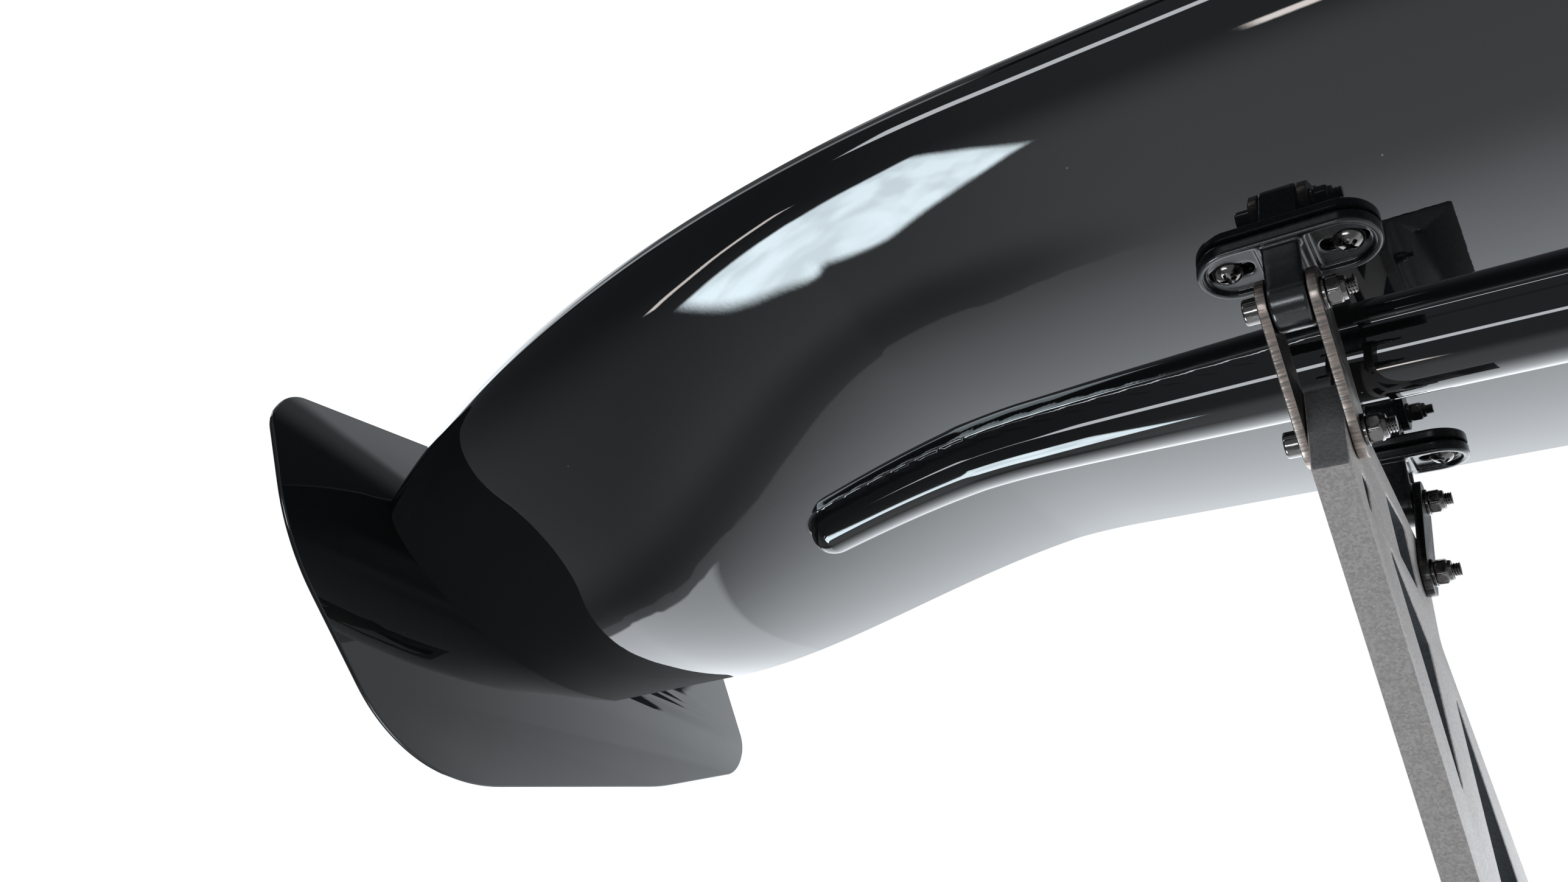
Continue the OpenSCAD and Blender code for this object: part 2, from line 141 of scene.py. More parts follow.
def rounded(corners, radii, step=6):
    """Outline through corners, each with its own radius."""
    out = []
    n = len(corners)
    for i, (p, r) in enumerate(zip(corners, radii)):
        p = np.array(p, float)
        u = np.array(corners[i - 1], float) - p
        v = np.array(corners[(i + 1) % n], float) - p
        u /= np.linalg.norm(u)
        v /= np.linalg.norm(v)
        half = math.acos(float(np.clip(u @ v, -1, 1))) / 2
        middle = (u + v) / np.linalg.norm(u + v)
        c = p + middle * r / math.sin(half)
        s = p + u * r / math.tan(half) - c
        e = p + v * r / math.tan(half) - c
        first = math.atan2(s[1], s[0])
        turn = (math.atan2(e[1], e[0]) - first + 3 * math.pi) % (2 * math.pi) - math.pi
        steps = max(3, math.ceil(abs(math.degrees(turn)) / step))
        for k in range(steps + 1):
            a = first + turn * k / steps
            out.append((c[0] + r * math.cos(a), c[1] + r * math.sin(a)))
    return out


def area(loop):
    p = np.array(loop)
    q = np.roll(p, -1, 0)
    return 0.5 * float(np.sum(p[:, 0] * q[:, 1] - q[:, 0] * p[:, 1]))


def within(loop, at):
    """Whether a point lies inside a loop."""
    hits = 0
    for (ax, ay), (bx, by) in zip(loop, np.roll(loop, -1, 0)):
        if (ay > at[1]) != (by > at[1]) and at[0] < ax + (at[1] - ay) / (by - ay) * (bx - ax):
            hits += 1
    return hits % 2 == 1


def inset(loop, by):
    """The loop moved sideways: inwards for a counter-clockwise one, outwards for a clockwise hole."""
    p = np.array(loop, float)
    before = p - np.roll(p, 1, 0)
    after = np.roll(p, -1, 0) - p
    nb = np.stack([-before[:, 1], before[:, 0]], 1) / np.linalg.norm(before, axis=1)[:, None]
    na = np.stack([-after[:, 1], after[:, 0]], 1) / np.linalg.norm(after, axis=1)[:, None]
    n = nb + na
    n /= np.linalg.norm(n, axis=1)[:, None]
    stretch = np.clip(np.sum(n * na, axis=1), 0.35, 1)
    return p + n * (by / stretch)[:, None]


def plate(loops, low, high, edge, steps=3):
    """Flat plate with rounded edges. The first loop is its outline and the others are holes."""
    loops = [list(q) if (area(q) > 0) == (k == 0) else list(q)[::-1] for k, q in enumerate(loops)]
    turns = [math.pi / 2 * i / steps for i in range(steps + 1)]
    levels = [(edge * (1 - math.sin(a)), low + edge * (1 - math.cos(a))) for a in turns]
    levels += [(edge * (1 - math.cos(a)), high - edge * (1 - math.sin(a))) for a in turns]
    points = []
    faces = []
    caps = ([], [])
    ends = ([], [])
    for loop in loops:
        n = len(loop)
        start = len(points)
        for by, at in levels:
            points.extend((x, y, at) for x, y in inset(loop, by))
        for k in range(len(levels) - 1):
            a = start + k * n
            for i in range(n):
                j = (i + 1) % n
                faces.append((a + i, a + j, a + n + j, a + n + i))
        for side, first in ((0, start), (1, start + (len(levels) - 1) * n)):
            caps[side].append([Vector((*points[first + i][:2], 0)) for i in range(n)])
            ends[side].extend(range(first, first + n))
    for side in (0, 1):
        for tri in tessellate_polygon(caps[side]):
            f = [ends[side][i] for i in tri]
            a, b, c = (points[i] for i in f)
            up = (b[0] - a[0]) * (c[1] - a[1]) - (b[1] - a[1]) * (c[0] - a[0]) > 0
            faces.append(tuple(f) if up == (side == 1) else tuple(reversed(f)))
    return points, faces


def revolve(profile, n=48, radius=None):
    """Closed solid about Z from (z, r) pairs. radius(r, angle, z) may shape each ring."""
    points = []
    faces = []
    for z, r in profile:
        for i in range(n):
            a = 2 * math.pi * i / n
            q = radius(r, a, z) if radius else r
            points.append((q * math.cos(a), q * math.sin(a), z))
    for k in range(len(profile) - 1):
        for i in range(n):
            j = (i + 1) % n
            faces.append((k * n + i, k * n + j, (k + 1) * n + j, (k + 1) * n + i))
    faces.append(tuple(range(n - 1, -1, -1)))
    last = (len(profile) - 1) * n
    faces.append(tuple(range(last, last + n)))
    return points, faces


def ring(profile, n=48, radius=None):
    """Closed ring about Z: profile is a loop of (z, r) pairs."""
    points = []
    faces = []
    m = len(profile)
    for z, r in profile:
        for i in range(n):
            a = 2 * math.pi * i / n
            q = radius(r, a, z) if radius else r
            points.append((q * math.cos(a), q * math.sin(a), z))
    for k in range(m):
        for i in range(n):
            j = (i + 1) % n
            b = (k + 1) % m
            faces.append((k * n + i, k * n + j, b * n + j, b * n + i))
    return points, faces


def along_x(x0, place, sign=1):
    """Puts a solid drawn about +Z on an axis along X through [y, z]; sign -1 points it to -X."""
    return lambda p: (x0 + sign * p[2], place[0] + sign * p[0], place[1] + p[1])


def in_yz(p):
    """A plate drawn flat, with its thickness along X."""
    return (p[2], p[0], p[1])


def make_object(name, solid, materials, smooth_deg=35.0):
    mesh = bpy.data.meshes.new(name)
    mesh.from_pydata(solid.points, [], solid.faces)
    mesh.validate()
    bm = bmesh.new()
    bm.from_mesh(mesh)
    bmesh.ops.recalc_face_normals(bm, faces=bm.faces)
    for edge in bm.edges:
        edge.smooth = len(edge.link_faces) == 2 and edge.calc_face_angle(0) < math.radians(smooth_deg)
    for face in bm.faces:
        face.smooth = True
    bm.to_mesh(mesh)
    bm.free()
    for m in materials if isinstance(materials, (list, tuple)) else [materials]:
        mesh.materials.append(m)
    obj = bpy.data.objects.new(name, mesh)
    bpy.context.scene.collection.objects.link(obj)
    return obj


def finish_piece(obj, body, slot, *nodes):
    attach(obj, body)
    if nodes:
        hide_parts(*nodes)
    return obj


def mark_faces(obj, amount):
    """Writes a painted-shade amount from each face's centre and normal, for the paint to read."""
    values = [amount(p.center, p.normal) for p in obj.data.polygons]
    layer = obj.data.attributes.new(PAINTED_SHADE_ATTR, "FLOAT", "FACE")
    layer.data.foreach_set("value", values)


# ---------------------------------------------------------------- material helpers


class Paint:
    """A Principled material and short ways to add nodes to it."""

    def __init__(self, name, **values):
        self.material = bpy.data.materials.new(name)
        self.material.use_nodes = True
        self.tree = self.material.node_tree
        self.shader = self.tree.nodes["Principled BSDF"]
        for key, value in values.items():
            self.shader.inputs[key.replace("_", " ")].default_value = value
        self.coords = self.node("ShaderNodeTexCoord").outputs["Object"]

    def node(self, kind, **settings):
        n = self.tree.nodes.new(kind)
        for key, value in settings.items():
            setattr(n, key, value)
        return n

    def link(self, a, b):
        self.tree.links.new(a, b)

    def stretched(self, x, y, z):
        n = self.node("ShaderNodeMapping")
        n.inputs["Scale"].default_value = (x, y, z)
        self.link(self.coords, n.inputs["Vector"])
        return n.outputs["Vector"]

    def noise(self, scale, detail=3.0, rough=0.55, where=None):
        n = self.node("ShaderNodeTexNoise")
        n.inputs["Scale"].default_value = scale
        n.inputs["Detail"].default_value = detail
        n.inputs["Roughness"].default_value = rough
        self.link(where or self.coords, n.inputs["Vector"])
        return n.outputs["Fac"]

    def cells(self, scale, where=None, feature="F1"):
        n = self.node("ShaderNodeTexVoronoi", feature=feature)
        n.inputs["Scale"].default_value = scale
        self.link(where or self.coords, n.inputs["Vector"])
        return n

    def spread(self, value, low, high, to_low, to_high, smooth=False):
        n = self.node("ShaderNodeMapRange", interpolation_type="SMOOTHSTEP" if smooth else "LINEAR")
        for key, number in (("From Min", low), ("From Max", high), ("To Min", to_low), ("To Max", to_high)):
            n.inputs[key].default_value = number
        self.link(value, n.inputs["Value"])
        return n.outputs["Result"]

    def maths(self, operation, a, b=None):
        n = self.node("ShaderNodeMath", operation=operation)
        for i, v in enumerate((a, b)):
            if v is None:
                continue
            if isinstance(v, (int, float)):
                n.inputs[i].default_value = v
            else:
                self.link(v, n.inputs[i])
        return n.outputs[0]

    def mix(self, share, a, b):
        n = self.node("ShaderNodeMix", data_type="RGBA")
        self.link(share, n.inputs["Factor"])
        for socket, colour in ((n.inputs["A"], a), (n.inputs["B"], b)):
            if isinstance(colour, tuple):
                socket.default_value = (*colour, 1)
            else:
                self.link(colour, socket)
        return n.outputs["Result"]

    def colour(self, value):
        self.link(value, self.shader.inputs["Base Color"])

    def roughness(self, value):
        self.link(value, self.shader.inputs["Roughness"])

    def bump(self, height, distance, strength=1.0, coat=False):
        n = self.node("ShaderNodeBump")
        n.inputs["Strength"].default_value = strength
        n.inputs["Distance"].default_value = distance
        self.link(height, n.inputs["Height"])
        self.link(n.outputs["Normal"], self.shader.inputs["Normal"])
        if coat:
            self.link(n.outputs["Normal"], self.shader.inputs["Coat Normal"])


def gloss_black(name):
    """Deep gloss paint: faint orange peel, wiped smudges and a few dust specks."""
    p = Paint(name, Specular_IOR_Level=0.5, IOR=1.5)
    smudge = p.spread(p.noise(9, 4, 0.6), 0.52, 0.75, 0.0, 1.0, True)
    streaks = p.noise(60, 3, 0.6, p.stretched(0.35, 1, 1))
    p.roughness(p.maths("ADD", p.maths("MULTIPLY", p.maths("MULTIPLY", smudge, streaks), 0.05), 0.012))
    dust = p.cells(95)
    speck = p.spread(dust.outputs["Distance"], 0.02, 0.05, 1.0, 0.0)
    split = p.node("ShaderNodeSeparateColor")
    p.link(dust.outputs["Color"], split.inputs["Color"])
    sparse = p.maths("MULTIPLY", speck, p.maths("GREATER_THAN", split.outputs[0], 0.93))
    p.colour(p.mix(sparse, (0.0045, 0.0048, 0.0052), (0.22, 0.22, 0.22)))
    peel = p.maths("ADD", p.noise(14, 1), p.maths("MULTIPLY", p.noise(420, 2), 0.007))
    p.bump(peel, 0.0006, 0.35)
    return p.material


def black_casting():
    """Shiny black paint over a die casting."""
    p = Paint("black_casting", Coat_Weight=0.2, Coat_Roughness=0.1)
    p.colour(p.mix(p.noise(300, 3), (0.005, 0.005, 0.006), (0.011, 0.011, 0.012)))
    p.roughness(p.spread(p.noise(500, 4), 0.3, 0.7, 0.22, 0.32))
    p.bump(p.noise(260, 2, 0.5), 0.00003, 0.15)
    return p.material


def link_metal(name, base, light, dark, low_rough, high_rough):
    """Stamped plate: striped sheared edges and dull mottled faces."""
    p = Paint(name, Metallic=1.0)
    stripes = p.noise(1, 2, 0.5, p.stretched(60, 900, 900))
    mottle = p.noise(420, 5, 0.7)
    normal = p.node("ShaderNodeNewGeometry").outputs["Normal"]
    across = p.node("ShaderNodeSeparateXYZ")
    p.link(normal, across.inputs["Vector"])
    edge = p.maths("LESS_THAN", p.maths("ABSOLUTE", across.outputs["X"]), 0.5)
    face = p.mix(p.spread(mottle, 0.35, 0.65, 0, 1), dark, base)
    sheared = p.mix(p.spread(stripes, 0.4, 0.6, 0, 1), base, light)
    p.colour(p.mix(edge, face, sheared))
    p.roughness(p.spread(mottle, 0.3, 0.7, low_rough, high_rough))
    p.bump(p.maths("ADD", p.maths("MULTIPLY", stripes, edge), p.maths("MULTIPLY", mottle, 0.4)), 0.00016, 0.6)
    return p.material


def silver_casting(name, base):
    """Silver paint over a fine sandy casting, with painted shade where a face attribute marks it."""
    p = Paint(name, Metallic=0.15, Specular_IOR_Level=0.3)
    flakes = p.cells(1150)
    shade = p.node("ShaderNodeSeparateColor")
    p.link(flakes.outputs["Color"], shade.inputs["Color"])
    broad = p.noise(24, 3)
    light = tuple(min(1, c * 1.28) for c in base)
    dark = tuple(c * 0.74 for c in base)
    grain = p.maths("ADD", p.maths("MULTIPLY", shade.outputs[0], 0.65), p.maths("MULTIPLY", broad, 0.35))
    # Painted shade: marked faces (the stand's window walls and the head between the links) are darkened to a
    # dark blue-grey.
    painted_shade_amount = p.node("ShaderNodeAttribute", attribute_name=PAINTED_SHADE_ATTR).outputs["Fac"]
    painted = p.mix(grain, dark, light)
    painted_shade = p.mix(grain, (0.05, 0.056, 0.062), (0.085, 0.09, 0.098))
    p.colour(p.mix(painted_shade_amount, painted, painted_shade))
    p.roughness(p.spread(p.noise(900, 3), 0.3, 0.7, 0.42, 0.58))
    p.bump(p.noise(750, 4, 0.65), 0.0003, 0.8)
    return p.material


def plated(name, base, rough, scale=500):
    """Plated or turned metal with faint tool marks."""
    p = Paint(name, Metallic=1.0)
    marks = p.noise(scale, 4, 0.6)
    p.colour(p.mix(marks, tuple(c * 0.75 for c in base), tuple(min(1, c * 1.2) for c in base)))
    p.roughness(p.spread(marks, 0.3, 0.7, rough * 0.7, rough * 1.35))
    p.bump(marks, 0.00003, 0.5)
    return p.material


def dull(name, base, rough, grain):
    """Moulded rubber or plastic."""
    p = Paint(name)
    p.colour(p.mix(p.noise(200, 4), tuple(c * 0.8 for c in base), tuple(c * 1.25 for c in base)))
    p.roughness(p.spread(p.noise(grain, 3), 0.3, 0.7, rough - 0.08, rough + 0.08))
    p.bump(p.noise(grain, 3, 0.6), 0.00012, 0.7)
    return p.material


MATERIALS = {
    "gloss_black_wing": gloss_black("gloss_black_wing"),
    "gloss_black_endplate": gloss_black("gloss_black_endplate"),
    "black_casting": black_casting(),
    "bare_link": link_metal("bare_link", (0.25, 0.225, 0.21), (0.46, 0.375, 0.33), (0.14, 0.13, 0.125),
                            0.3, 0.5),
    "dark_link": link_metal("dark_link", (0.06, 0.06, 0.06), (0.12, 0.115, 0.11), (0.035, 0.035, 0.035),
                            0.22, 0.4),
    "silver_casting": silver_casting("silver_casting", (0.48, 0.445, 0.425)),
    "silver_foot": silver_casting("silver_foot", (0.36, 0.355, 0.35)),
    "foot_rubber": dull("foot_rubber", (0.02, 0.02, 0.02), 0.75, 900),
    "spar_aluminium": plated("spar_aluminium", (0.7, 0.71, 0.72), 0.35),
    "rib_plastic": dull("rib_plastic", (0.08, 0.08, 0.08), 0.5, 600),
    "insert_brass": plated("insert_brass", (0.72, 0.52, 0.24), 0.28),
    "black_nickel": plated("black_nickel", (0.17, 0.16, 0.155), 0.17),
}

# ---------------------------------------------------------------- wing skins

MID_LEAD = FRONT_UPPER + np.array((-98, 62)) * MM
MID_TRAIL = FRONT_UPPER + np.array((208, 31)) * MM
TIP_LEAD = FRONT_UPPER + np.array((5, 33)) * MM
TIP_TRAIL = FRONT_UPPER + np.array((222, -26)) * MM
SKIN_T = 2 * MM
EDGE_T = 2 * MM
CROWN = 0.035
CROWN_AT = 0.25
DEPTH = (0.088, 0.125)
DEEPEST = (0.33, 0.5)
SWEEP_START = STAND_X + 75 * MM
STEP_START = STAND_X + 130 * MM
STEP_RUN = 280 * MM
STEP_SHARE = 0.68
DROOP_START = STAND_X + 165 * MM
RIDGE_W = (43 * MM, 31 * MM)
RIDGE_END = 525 * MM
RIDGE_FRONT = (0.51, 0.557)
RIDGE_TURN = RIDGE_END - RIDGE_W[1] / 2
RIDGE_SOFT = 0.03
BOND_GAP = 0.05 * MM


def mixed(pair, t):
    return pair[0] + (pair[1] - pair[0]) * t


def wing_section(c, x):
    """All that the skins need at chord shares c and span stations x, as two-dimensional arrays."""
    c, x = np.broadcast_arrays(c[None, :], np.abs(x)[:, None])
    sweep = np.clip((x - SWEEP_START) / (HALF_SPAN - SWEEP_START), 0, 1) ** 2
    t = np.clip((x - STEP_START) / STEP_RUN, 0, 1)
    droop = np.clip((x - DROOP_START) / (HALF_SPAN - DROOP_START), 0, 1)
    step = STEP_SHARE * t * t * (3 - 2 * t) + (1 - STEP_SHARE) * droop
    lead = MID_LEAD + (TIP_LEAD - MID_LEAD) * sweep[..., None]
    trail = MID_TRAIL + (TIP_TRAIL - MID_TRAIL) * step[..., None]
    chord = np.linalg.norm(trail - lead, axis=-1)
    way = (trail - lead) / chord[..., None]
    peak = mixed(DEEPEST, step)

    def nose(at):
        return np.sqrt(np.clip(1 - ((at - c) / at) ** 2, 0, 1))

    under = np.where(c < peak, nose(peak), 1 - ((c - peak) / (1 - peak)) ** 2)
    depth = chord * mixed(DEPTH, step) * under + c * EDGE_T / 2
    fall = np.clip((c - CROWN_AT) / (1 - CROWN_AT), 0, 1) ** 1.5
    height = chord * CROWN * np.where(c < CROWN_AT, nose(CROWN_AT), 1 - fall) + c * EDGE_T / 2
    taper = np.clip((x - STAND_X) / (RIDGE_END - STAND_X), 0, 1)
    r = mixed(RIDGE_W, taper) / 2
    across = (c - mixed(RIDGE_FRONT, taper)) * chord / r - 1
    along = np.clip((x - RIDGE_TURN) / (RIDGE_W[1] / 2), 0, None)
    inside = 1 - across**2 - along**2
    ridge = r * np.sqrt(RIDGE_SOFT * np.logaddexp(0, inside / RIDGE_SOFT))
    middle = (height - depth) / 2
    hollow = np.maximum(BOND_GAP, (height + depth) / 2 - SKIN_T)

    def place(h):
        return lead + (c * chord)[..., None] * way + h[..., None] * np.stack([-way[..., 1], way[..., 0]], -1)

    return {
        "top": place(height),
        "top_inside": place(middle + hollow),
        "bottom": place(-depth - ridge),
        "bottom_inside": place(middle - hollow),
    }


def span_stations():
    """Distances from the centre plane, closest where the plan form and the ridge bend."""
    flat = np.concatenate([np.linspace(0, STAND_X, 14), np.linspace(STAND_X, SWEEP_START, 26)[1:]])
    swept = np.linspace(SWEEP_START, RIDGE_TURN - 6 * MM, 60)[1:]
    turn = np.linspace(RIDGE_TURN - 6 * MM, RIDGE_END + 6 * MM, 34)[1:]
    outer = np.linspace(RIDGE_END + 6 * MM, HALF_SPAN, 66)[1:]
    half = np.concatenate([flat, swept, turn, outer])
    return np.concatenate([-half[:0:-1], half])


def chord_shares(over):
    """Shares from the leading edge back, closest at the nose, with a chosen number over the ridge."""
    nose = 0.3 * (1 - np.cos(np.linspace(0, math.pi / 2, 26)))
    front = np.linspace(0.3, 0.49, 9)[1:]
    back = np.linspace(0.68, 1, 16)[1:]
    return np.concatenate([nose, front, np.linspace(0.49, 0.68, over)[1:], back])


def skin(name, outer, inner, over):
    """Closed shell: the outer surface, then the inner one back to the leading edge."""
    x = span_stations()
    c = chord_shares(over)
    section = wing_section(c, x)
    out = section[outer]
    back = section[inner][:, :0:-1]
    rings = np.concatenate([out, back], axis=1)
    m, n = rings.shape[:2]
    points = np.concatenate([np.broadcast_to(x[:, None, None], (m, n, 1)), rings], axis=2).reshape(-1, 3)
    i = np.arange(n)
    j = (i + 1) % n
    rows = np.arange(m - 1)[:, None] * n
    quads = np.stack([rows + i, rows + j, rows + n + j, rows + n + i], axis=-1).reshape(-1, 4)
    k = len(c)
    faces = [tuple(q) for q in quads.tolist()]
    for base in (0, (m - 1) * n):
        strip = [(base + a, base + a + 1, base + n - a - 1, base + (n - a) % n) for a in range(k - 1)]
        faces.extend(tuple(dict.fromkeys(q)) for q in strip)
    return make_object(name, Solid().add(points.tolist(), faces), MATERIALS["gloss_black_wing"], 40)


def make_wing():
    """Upper and lower skins. The lower one carries the ridge, so it stands for two CAD nodes."""
    upper = skin("upper_skin", "top", "top_inside", 14)
    finish_piece(upper, "wing", "gloss_black_wing", "wing_upper_skin")
    lower = skin("lower_skin", "bottom", "bottom_inside", 72)
    finish_piece(lower, "wing", "gloss_black_wing", "wing_lower_skin", "wing_ridge")


# ---------------------------------------------------------------- endplates

PLATE_CORNERS = [(-92, 63), (-51, -17), (68, -124), (282, -73), (387, -35), (269, 113)]
PLATE_RADII = [18, 180, 130, 200, 22, 20]
PLATE_STOPS = (0.22, 0.45, 0.68)
PLATE_SCREW_R = 2.5 * MM


def plate_screw_places():
    """[y, z] of the endplate screws, halfway between the wing's surfaces."""
    section = wing_section(np.array(PLATE_STOPS), np.array([HALF_SPAN]))
    return (section["top_inside"][0] + section["bottom_inside"][0]) / 2


def make_endplate(side, sign):
    plate_corners = [FRONT_UPPER + np.array(p) * MM for p in PLATE_CORNERS]
    outline = rounded(plate_corners, [r * MM for r in PLATE_RADII], 2)
    holes = [circle(PLATE_SCREW_R + 0.2 * MM, 32, at) for at in plate_screw_places()]
    points, faces = plate([outline, *holes], HALF_SPAN, HALF_SPAN + PLATE_T, 1.1 * MM, 5)
    solid = Solid().add(points, faces, lambda p: (sign * p[2], p[0], p[1]))
    obj = make_object(f"{side}_end_plate", solid, MATERIALS["gloss_black_endplate"], 30)
    finish_piece(obj, "wing", "gloss_black_endplate", f"{side}_endplate")


# ---------------------------------------------------------------- fasteners


def screw_thread(z0, z1, r, depth=0.45 * MM, n=40):
    """Threaded shank about Z: the radius follows a helix, and the end is chamfered."""
    steps = int((z1 - z0) / PITCH * 10)
    profile = [(z0 + (z1 - z0) * k / steps, r) for k in range(steps + 1)]

    def radius(q, a, z):
        phase = (z / PITCH - a / (2 * math.pi)) % 1
        groove = depth * (1 - abs(2 * phase - 1))
        return min(q - groove, r - depth * 0.2 + (z1 - z))

    return revolve(profile, n, radius)


def hexagon(r, a):
    """Distance from the centre to a hexagon's edge, at angle a, for an inner radius r."""
    turn = (a + math.pi / 6) % (math.pi / 3) - math.pi / 6
    return r / math.cos(turn)


def nut_solid():
    """Locking nut about +Z from z = 0: chamfered hexagon, a crimped shoulder and a round collar."""
    af = 5 * MM
    h = 5 * MM
    top = 6.5 * MM
    corner = 5.55 * MM
    bore = BOLT_R + 0.02 * MM

    def shape(r, a, z):
        if r <= bore + 1e-6 or r < 4.7 * MM:
            return r
        cone = corner - max(0, 0.7 * MM - z) * 1.1 - max(0, z - (h - 0.9 * MM)) * 1.0
        return min(hexagon(af, a), cone)

    big = 6 * MM
    profile = [(z * MM, big) for z in (0, 0.15, 0.35, 0.7, 1.5, 2.8, 4.1, 4.4, 4.7, 5.0)]
    profile += [(5.05 * MM, 4.5 * MM), (5.3 * MM, 4.42 * MM), (6.0 * MM, 4.4 * MM)]
    profile += [(6.3 * MM, 4.25 * MM), (top, 3.9 * MM), (top, 3.5 * MM), (6.35 * MM, bore), (0, bore)]
    return ring(profile, 72, shape)


def socket_head(solid, place, r, h, key, shank):
    """Socket-head bolt about +Z: head from z = -h to 0 with a hexagon socket, shank above it."""
    bevel = 0.6 * MM
    knurl = 0.07 * MM
    n = 72

    def grip(q, a, z):
        rough = q > r - 0.05 * MM and -h + 1.2 * MM < z < -0.8 * MM
        return q - (knurl if rough and int(round(a / (2 * math.pi) * n)) % 2 else 0)

    deep = 3 * MM
    six = 6
    outer = [(0, r - 0.3 * MM), (-0.3 * MM, r), (-0.9 * MM, r)]
    outer += [(-h + 1.0 * MM, r), (-h + bevel, r), (-h + bevel * 0.3, r - bevel * 0.35), (-h, r - bevel)]
    points = []
    faces = []
    for z, q in outer:
        points.extend((grip(q, 2 * math.pi * i / n, z) * math.cos(2 * math.pi * i / n),
                       grip(q, 2 * math.pi * i / n, z) * math.sin(2 * math.pi * i / n), z) for i in range(n))
    for k in range(len(outer) - 1):
        for i in range(n):
            j = (i + 1) % n
            faces.append((k * n + i, k * n + j, (k + 1) * n + j, (k + 1) * n + i))
    last = (len(outer) - 1) * n
    rim = key / 2 / math.cos(math.pi / 6)
    for level, q in ((-h, rim + 0.25 * MM), (-h + 0.25 * MM, rim), (-h + deep, rim)):
        for i in range(n):
            turn = 2 * math.pi * i / n + math.pi / 6
            x = q * math.cos(turn) * hexagon(1, turn) * math.cos(math.pi / 6)
            y = q * math.sin(turn) * hexagon(1, turn) * math.cos(math.pi / 6)
            points.append((x, y, level))
    shift = n // (2 * six)
    for i in range(n):
        j = (i + 1) % n
        a, b = last + (i + shift) % n, last + (j + shift) % n
        faces.append((a, b, last + n + j, last + n + i))
        for level in (1, 2):
            low = last + level * n
            faces.append((low + i, low + j, low + n + j, low + n + i))
    bottom = last + 3 * n
    points.append((0, 0, -h + deep + 0.8 * MM))
    tip = len(points) - 1
    for i in range(n):
        faces.append((bottom + i, bottom + (i + 1) % n, tip))
    faces.append(tuple(range(n)))
    solid.add(points, faces, place)
    plain, total = shank
    solid.add(*revolve([(-0.5 * MM, BOLT_R - 0.02 * MM), (plain, BOLT_R - 0.02 * MM)], 40), place)
    solid.add(*screw_thread(plain - 0.2 * MM, total, BOLT_R), place)


def pan_screw(solid, place, r, h, shank_r, shank_l):
    """Domed screw about +Z: its head hangs below z = 0 with a cross recess, the shank goes up."""
    n = 96
    rings = 34
    ball = (r * r + h * h) / (2 * h)
    points = []
    faces = []
    for k in range(rings + 1):
        q = r * (k / rings) ** 0.85
        dome = math.sqrt(ball * ball - q * q) - (ball - h)
        for i in range(n):
            a = 2 * math.pi * i / n
            x, y = q * math.cos(a), q * math.sin(a)
            arm = min(abs(x), abs(y))
            reach = max(abs(x), abs(y))
            across = min(1, max(0, (0.75 * MM - arm) / (0.18 * MM)))
            along = min(1, max(0, (3.1 * MM - reach) / (0.9 * MM)))
            wall = across * along
            points.append((x, y, -max(dome - 1.9 * MM * wall, 0.3 * MM if k < rings else 0)))
    for k in range(1, rings):
        for i in range(n):
            j = (i + 1) % n
            faces.append((k * n + i, k * n + j, (k + 1) * n + j, (k + 1) * n + i))
    faces.append(tuple(range(n, 2 * n)))
    faces.append(tuple(rings * n + i for i in range(n - 1, -1, -1)))
    solid.add(points[n:], [tuple(i - n for i in f) for f in faces], place)
    solid.add(*revolve([(-0.2 * MM, shank_r), (shank_l, shank_r)], 32), place)


def make_pivot_hardware(side, sign, end):
    """Bolts, nuts and washers of one pair of links."""
    body = f"{end}_links"
    outside = sign * (STAND_X + LINK_OUT)
    inside = sign * (STAND_X - LINK_OUT)
    washer_t = 1.2 * MM
    length = 2 * LINK_OUT + washer_t + 6.5 * MM + 3 * MM
    nuts = Solid()
    washers = Solid()
    for which, place in zip(("upper", "lower"), PIVOTS[end]):
        bolt = Solid()
        socket_head(bolt, along_x(outside, place, -sign), 5 * MM, 6 * MM, 5 * MM, (2 * LINK_OUT, length))
        obj = make_object(f"{side}_{end}_{which}_pivot_bolt", bolt, MATERIALS["black_nickel"], 30)
        finish_piece(obj, body, "black_nickel", f"{side}_{end}_{which}_bolt")
        nuts.add(*nut_solid(), along_x(inside - sign * washer_t, place, -sign))
        rim = 0.2 * MM
        r0, r1 = BOLT_R + 0.2 * MM, 6 * MM
        loop = [(0, r1 - rim), (rim, r1), (washer_t - rim, r1), (washer_t, r1 - rim), (washer_t, r0), (0, r0)]
        washers.add(*ring(loop, 56), along_x(inside, place, -sign))
    obj = make_object(f"{side}_{end}_lock_nuts", nuts, MATERIALS["black_nickel"], 28)
    finish_piece(obj, body, "black_nickel", f"{side}_{end}_nuts")
    obj = make_object(f"{side}_{end}_flat_washers", washers, MATERIALS["black_nickel"], 30)
    finish_piece(obj, body, "black_nickel", f"{side}_{end}_washers")


def make_endplate_screws(side, sign):
    solid = Solid()
    for place in plate_screw_places():
        head = along_x(sign * (HALF_SPAN + PLATE_T), place, -sign)
        pan_screw(solid, head, 4.5 * MM, 2.7 * MM, 2.4 * MM, 11.6 * MM)
    obj = make_object(f"{side}_end_plate_screws", solid, MATERIALS["black_nickel"], 32)
    finish_piece(obj, "wing", "black_nickel", f"{side}_endplate_screws")


# ---------------------------------------------------------------- links


def stadium(a, b, r, n=28):
    """Outline of a bar with round ends about the points a and b."""
    a, b = np.array(a, float), np.array(b, float)
    first = math.atan2(*(b - a)[::-1])
    loop = [tuple(a + r * np.array((math.cos(t), math.sin(t))))
            for t in np.linspace(first + math.pi / 2, first + 3 * math.pi / 2, n)]
    loop += [tuple(b + r * np.array((math.cos(t), math.sin(t))))
             for t in np.linspace(first - math.pi / 2, first + math.pi / 2, n)]
    return loop


